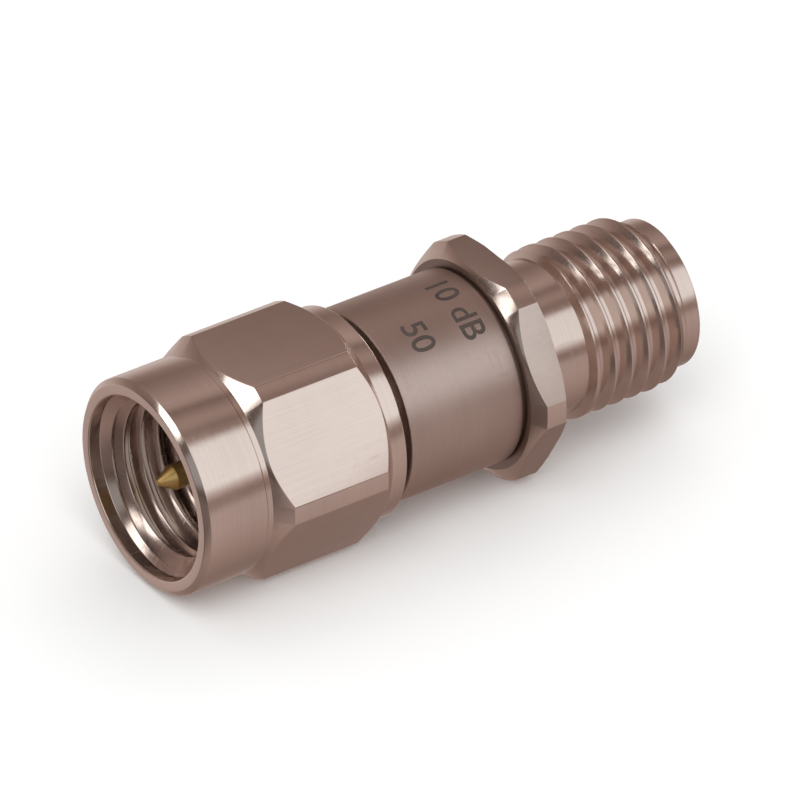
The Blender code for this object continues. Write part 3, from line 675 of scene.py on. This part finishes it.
def makeJack(spec):
    firstFlank = math.tan(math.radians(spec["thread"]["flank"]))
    corners = [
        (spec["spigot"], spec["spigotFront"], 0.05),
        (spec["spigot"], spec["shoulderFront"]),
        (spec["shoulder"], spec["shoulderFront"]),
        (spec["shoulder"], spec["flangeFront"]),
        (spec["flangeFace"], spec["flangeFront"], 0.04),
        (spec["corner"], spec["flangeFront"] + spec["chamfer"], 0.04),
        (spec["corner"], spec["flangeRear"] - spec["rearChamfer"], 0.03),
        (spec["corner"] - spec["rearFall"], spec["flangeRear"], 0.03),
        (spec["neck"], spec["flangeRear"], 0.05),
        (spec["neck"], spec["threadFront"]),
        (spec["crest"], spec["threadFront"] + (spec["crest"] - spec["neck"]) * firstFlank, 0.03),
        (spec["crest"], spec["leadFront"], 0.05),
        (spec["pilot"], spec["pilotFront"], 0.04),
        (spec["pilot"], spec["end"], 0.06),
        (spec["mouth"] + spec["mouthChamfer"], spec["end"], 0.03),
        (spec["mouth"], spec["end"] - spec["mouthChamfer"], 0.03),
        (spec["mouth"], spec["plane"]),
        (spec["bore"], spec["plane"]),
        (spec["bore"], spec["step"]),
        (spec["rearBore"], spec["step"]),
        (spec["rearBore"], spec["spigotFront"]),
    ]
    form = turned(corners)
    # the shoulder and the flange's front face take slot 2, the darker steel that paints in the shade between barrel
    # and flange
    faceEnd = mouthX + (spec["flangeFront"] + 0.02) * mm
    for face in form.faces:
        middle = face.calc_center_median()
        if axisRadius(middle) > spec["spigot"] and middle.x < faceEnd:
            face.material_index = 2
    cutFlats(form, spec["flat"], 0.03, 1)
    piece = link("jackBody", form, [finishes["jackTurned"], finishes["jackFlat"], finishes["jackFacePaintedShade"]])
    pitch = spec["thread"]["pitch"]
    start = spec["threadFront"] + spec["threadStart"]
    turns = math.ceil((spec["pilotFront"] + pitch / 2 - start) / pitch * 4) / 4
    cut = {**spec["thread"], "root": spec["root"], "crest": spec["crest"], "start": start, "turns": turns}
    carve(piece, [threadTool("jackThreadTool", cut, 0)])
    seat(piece, "housing", "jack_body")


makeJack(jack)


# Plug: shell, pin, insulator and gasket inside the nut's mouth

plug = {
    "plane": 2.75, "tube": 2.29, "bore": 2.05, "rearBore": 1.75, "step": 5.60,
    "shankFront": 5.57, "shank": 2.60, "grooveFront": 5.89, "grooveRear": 6.88, "groove": 2.25,
    "flangeFront": 8.78, "flange": 2.98, "rear": 9.32,
    "pinTip": 0.60, "pinTaper": 0.60, "pin": 0.457, "pinPoint": 0.10, "contact": 0.635,
    "collar": 0.85, "collarFront": 5.26, "collarRear": 5.58, "tail": 0.53, "tailEnd": 9.91,
    "forkDepth": 0.47, "forkHalf": 0.215, "fit": 0.02,
}


def slotTool(name, along, side, height):
    # a box to cut with, from (low, high) pairs in mm
    form = bmesh.new()
    bmesh.ops.create_cube(form, size=1.0)
    size = [(high - low) * mm for low, high in (along, side, height)]
    centre = onAxis(0, sum(along) / 2) + Vector((0, sum(side) / 2 * mm, sum(height) / 2 * mm))
    bmesh.ops.scale(form, vec=size, verts=form.verts)
    bmesh.ops.translate(form, vec=centre, verts=form.verts)
    return link(name, form, [])


def makePlug(spec):
    shell = [
        (spec["tube"], spec["plane"], 0.06),
        (spec["tube"], spec["shankFront"], 0.05),
        (spec["shank"], spec["shankFront"], 0.06),
        (spec["shank"], spec["grooveFront"], 0.03),
        (spec["groove"], spec["grooveFront"]),
        (spec["groove"], spec["grooveRear"]),
        (spec["shank"], spec["grooveRear"], 0.03),
        (spec["shank"], spec["flangeFront"]),
        (spec["flange"], spec["flangeFront"]),
        (spec["flange"], spec["rear"]),
        (spec["rearBore"], spec["rear"]),
        (spec["rearBore"], spec["step"]),
        (spec["bore"], spec["step"]),
        (spec["bore"], spec["plane"], 0.04),
    ]
    piece = link("plugShell", turned(shell), [finishes["nutTurned"]])
    seat(piece, "housing", "plug_shell")

    pin = [
        (0, spec["pinTip"]),
        (spec["pinPoint"], spec["pinTip"], 0.04),
        (spec["pin"], spec["pinTip"] + spec["pinTaper"], 0.10),
        (spec["pin"], spec["plane"]),
        (spec["contact"], spec["plane"], 0.04),
        (spec["contact"], spec["collarFront"]),
        (spec["collar"], spec["collarFront"]),
        (spec["collar"], spec["collarRear"]),
        (spec["tail"], spec["collarRear"]),
        (spec["tail"], spec["tailEnd"], 0.05),
        (0, spec["tailEnd"]),
    ]
    piece = link("plugPin", turned(pin, sides=96), [finishes["goldPlate"]])
    deep = (spec["tailEnd"] - spec["forkDepth"], spec["tailEnd"] + 1)
    across = (-2 * spec["tail"], 2 * spec["tail"])
    low = -0.165
    carve(piece, [slotTool("plugForkTool", deep, across, (low, low + 2 * 0.19))])
    seat(piece, "housing", "plug_pin")

    insulator = [
        (spec["bore"] - spec["fit"], spec["plane"], 0.05),
        (spec["bore"] - spec["fit"], spec["collarRear"]),
        (spec["collar"] + spec["fit"], spec["collarRear"]),
        (spec["collar"] + spec["fit"], spec["collarFront"] - spec["fit"]),
        (spec["contact"] + spec["fit"], spec["collarFront"] - spec["fit"]),
        (spec["contact"] + spec["fit"], spec["plane"], 0.05),
    ]
    piece = link("plugInsulator", turned(insulator), [finishes["fluoroPlastic"]])
    seat(piece, "housing", "plug_dielectric_front")

    gasket = [
        (nut["counterbore"] - spec["fit"], nut["gasketFront"], 0.12),
        (nut["counterbore"] - spec["fit"], nut["shoulder"] - spec["fit"], 0.12),
        (spec["tube"] + 0.05, nut["shoulder"] - spec["fit"], 0.10),
        (spec["tube"] + 0.05, nut["gasketFront"], 0.10),
    ]
    piece = link("nutGasket", turned(gasket), [finishes["gasketRubber"]])
    seat(piece, "nut", "nut_gasket")


makePlug(plug)


# Jack's contact: slotted socket and insulator

contact = {
    "radius": 0.635, "bore": 0.48, "boreEnd": 17.08, "collar": 0.85, "collarRear": 16.85, "collarFront": 17.17,
    "tail": 0.53, "slotWide": 0.16, "slotDeep": 2.0, "fit": 0.02,
}


def makeContact(spec):
    plane = jack["plane"]
    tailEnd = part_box("jack_socket")[0].x / mm - mouthX / mm
    socket = [
        (0, spec["boreEnd"]),
        (spec["bore"], spec["boreEnd"] + spec["bore"]),
        (spec["bore"], plane - 0.06),
        (spec["bore"] + 0.06, plane, 0.02),
        (spec["radius"], plane, 0.04),
        (spec["radius"], spec["collarFront"]),
        (spec["collar"], spec["collarFront"]),
        (spec["collar"], spec["collarRear"]),
        (spec["tail"], spec["collarRear"]),
        (spec["tail"], tailEnd, 0.05),
        (0, tailEnd),
    ]
    piece = link("jackSocket", turned(socket, sides=96), [finishes["goldPlate"]])
    half = spec["slotWide"] / 2
    depth = (plane - spec["slotDeep"], plane + 1)
    reach = (-2 * spec["radius"], 2 * spec["radius"])
    fork = (tailEnd - 1, tailEnd + plug["forkDepth"])
    carve(piece, [
        slotTool("levelSlot", depth, reach, (-half, half)),
        slotTool("uprightSlot", depth, (-half, half), reach),
        slotTool("socketForkTool", fork, reach, (-0.215, 0.215)),
    ])
    seat(piece, "housing", "jack_socket")

    insulator = [
        (jack["bore"] - spec["fit"], plane, 0.05),
        (jack["bore"] - spec["fit"], spec["collarRear"]),
        (spec["collar"] + spec["fit"], spec["collarRear"]),
        (spec["collar"] + spec["fit"], spec["collarFront"] + spec["fit"]),
        (spec["radius"] + spec["fit"], spec["collarFront"] + spec["fit"]),
        (spec["radius"] + spec["fit"], plane, 0.05),
    ]
    piece = link("jackInsulator", turned(insulator), [finishes["fluoroPlastic"]])
    seat(piece, "housing", "jack_dielectric_front")


makeContact(contact)


# Etched figures on the barrel, the attenuation and the impedance

marks = {
    "lines": [("10 dB", 12.0, 15.0), ("50", 10.0, 26.0)],   # text, station of its foot, middle angle
    "size": 1.30, "bold": 0.014, "proud": 0.003, "deep": 0.02, "column": 0.06,
}


def makeMark(name, text, foot, angle, spec):
    curve = bpy.data.curves.new(name, "FONT")
    curve.body = text
    curve.size = spec["size"]
    curve.offset = spec["bold"]
    curve.align_x = "CENTER"
    curve.resolution_u = 6
    writing = bpy.data.objects.new(name + "Text", curve)
    bpy.context.scene.collection.objects.link(writing)
    bpy.context.view_layer.update()
    flat = bpy.data.meshes.new_from_object(writing.evaluated_get(bpy.context.evaluated_depsgraph_get()))
    bpy.data.objects.remove(writing, do_unlink=True)
    form = bmesh.new()
    form.from_mesh(flat)
    bpy.data.meshes.remove(flat)
    bmesh.ops.remove_doubles(form, verts=form.verts, dist=0.0001)
    reach = max(abs(vert.co.x) for vert in form.verts)
    column = -reach
    while column < reach:
        column += spec["column"]
        everything = form.verts[:] + form.edges[:] + form.faces[:]
        bmesh.ops.bisect_plane(form, geom=everything, plane_co=(column, 0, 0), plane_no=(1, 0, 0))
    radius = barrel["radius"] + spec["proud"]
    for vert in form.verts:
        vert.co = onAxis(radius, foot + vert.co.y, angle + math.degrees(vert.co.x / radius))
    raised = bmesh.ops.extrude_face_region(form, geom=form.faces[:])["geom"]
    share = (radius - spec["deep"]) / radius
    for vert in raised:
        if isinstance(vert, bmesh.types.BMVert):
            vert.co.y *= share
            vert.co.z = axisHeight + (vert.co.z - axisHeight) * share
    bmesh.ops.recalc_face_normals(form, faces=form.faces)
    piece = link(name, form, [finishes["etchedMark"]])
    seat(piece, "housing", None)


for number, (text, foot, angle) in enumerate(marks["lines"]):
    makeMark(f"etchedLine{number + 1}", text, foot, angle, marks)


# CAD solids that keep their shape and take a finish

kept = {
    "retaining_ring": "springSteel",
    "wave_washer": "springSteel",
    "plug_dielectric_rear": "fluoroPlastic",
    "jack_dielectric_rear": "fluoroPlastic",
    "card_holder_upper": "holderBrass",
    "card_holder_lower": "holderBrass",
    "attenuator_card": "cardCeramic",
    "resistor_film": "resistiveFilm",
    "input_terminal": "terminalSilver",
    "output_terminal": "terminalSilver",
    "ground_strip_left": "terminalSilver",
    "ground_strip_right": "terminalSilver",
}
for nodeName, finishName in kept.items():
    for place in nodes[nodeName].material_slots:
        place.material = finishes[finishName]
print("inner solids finished,", len(kept))
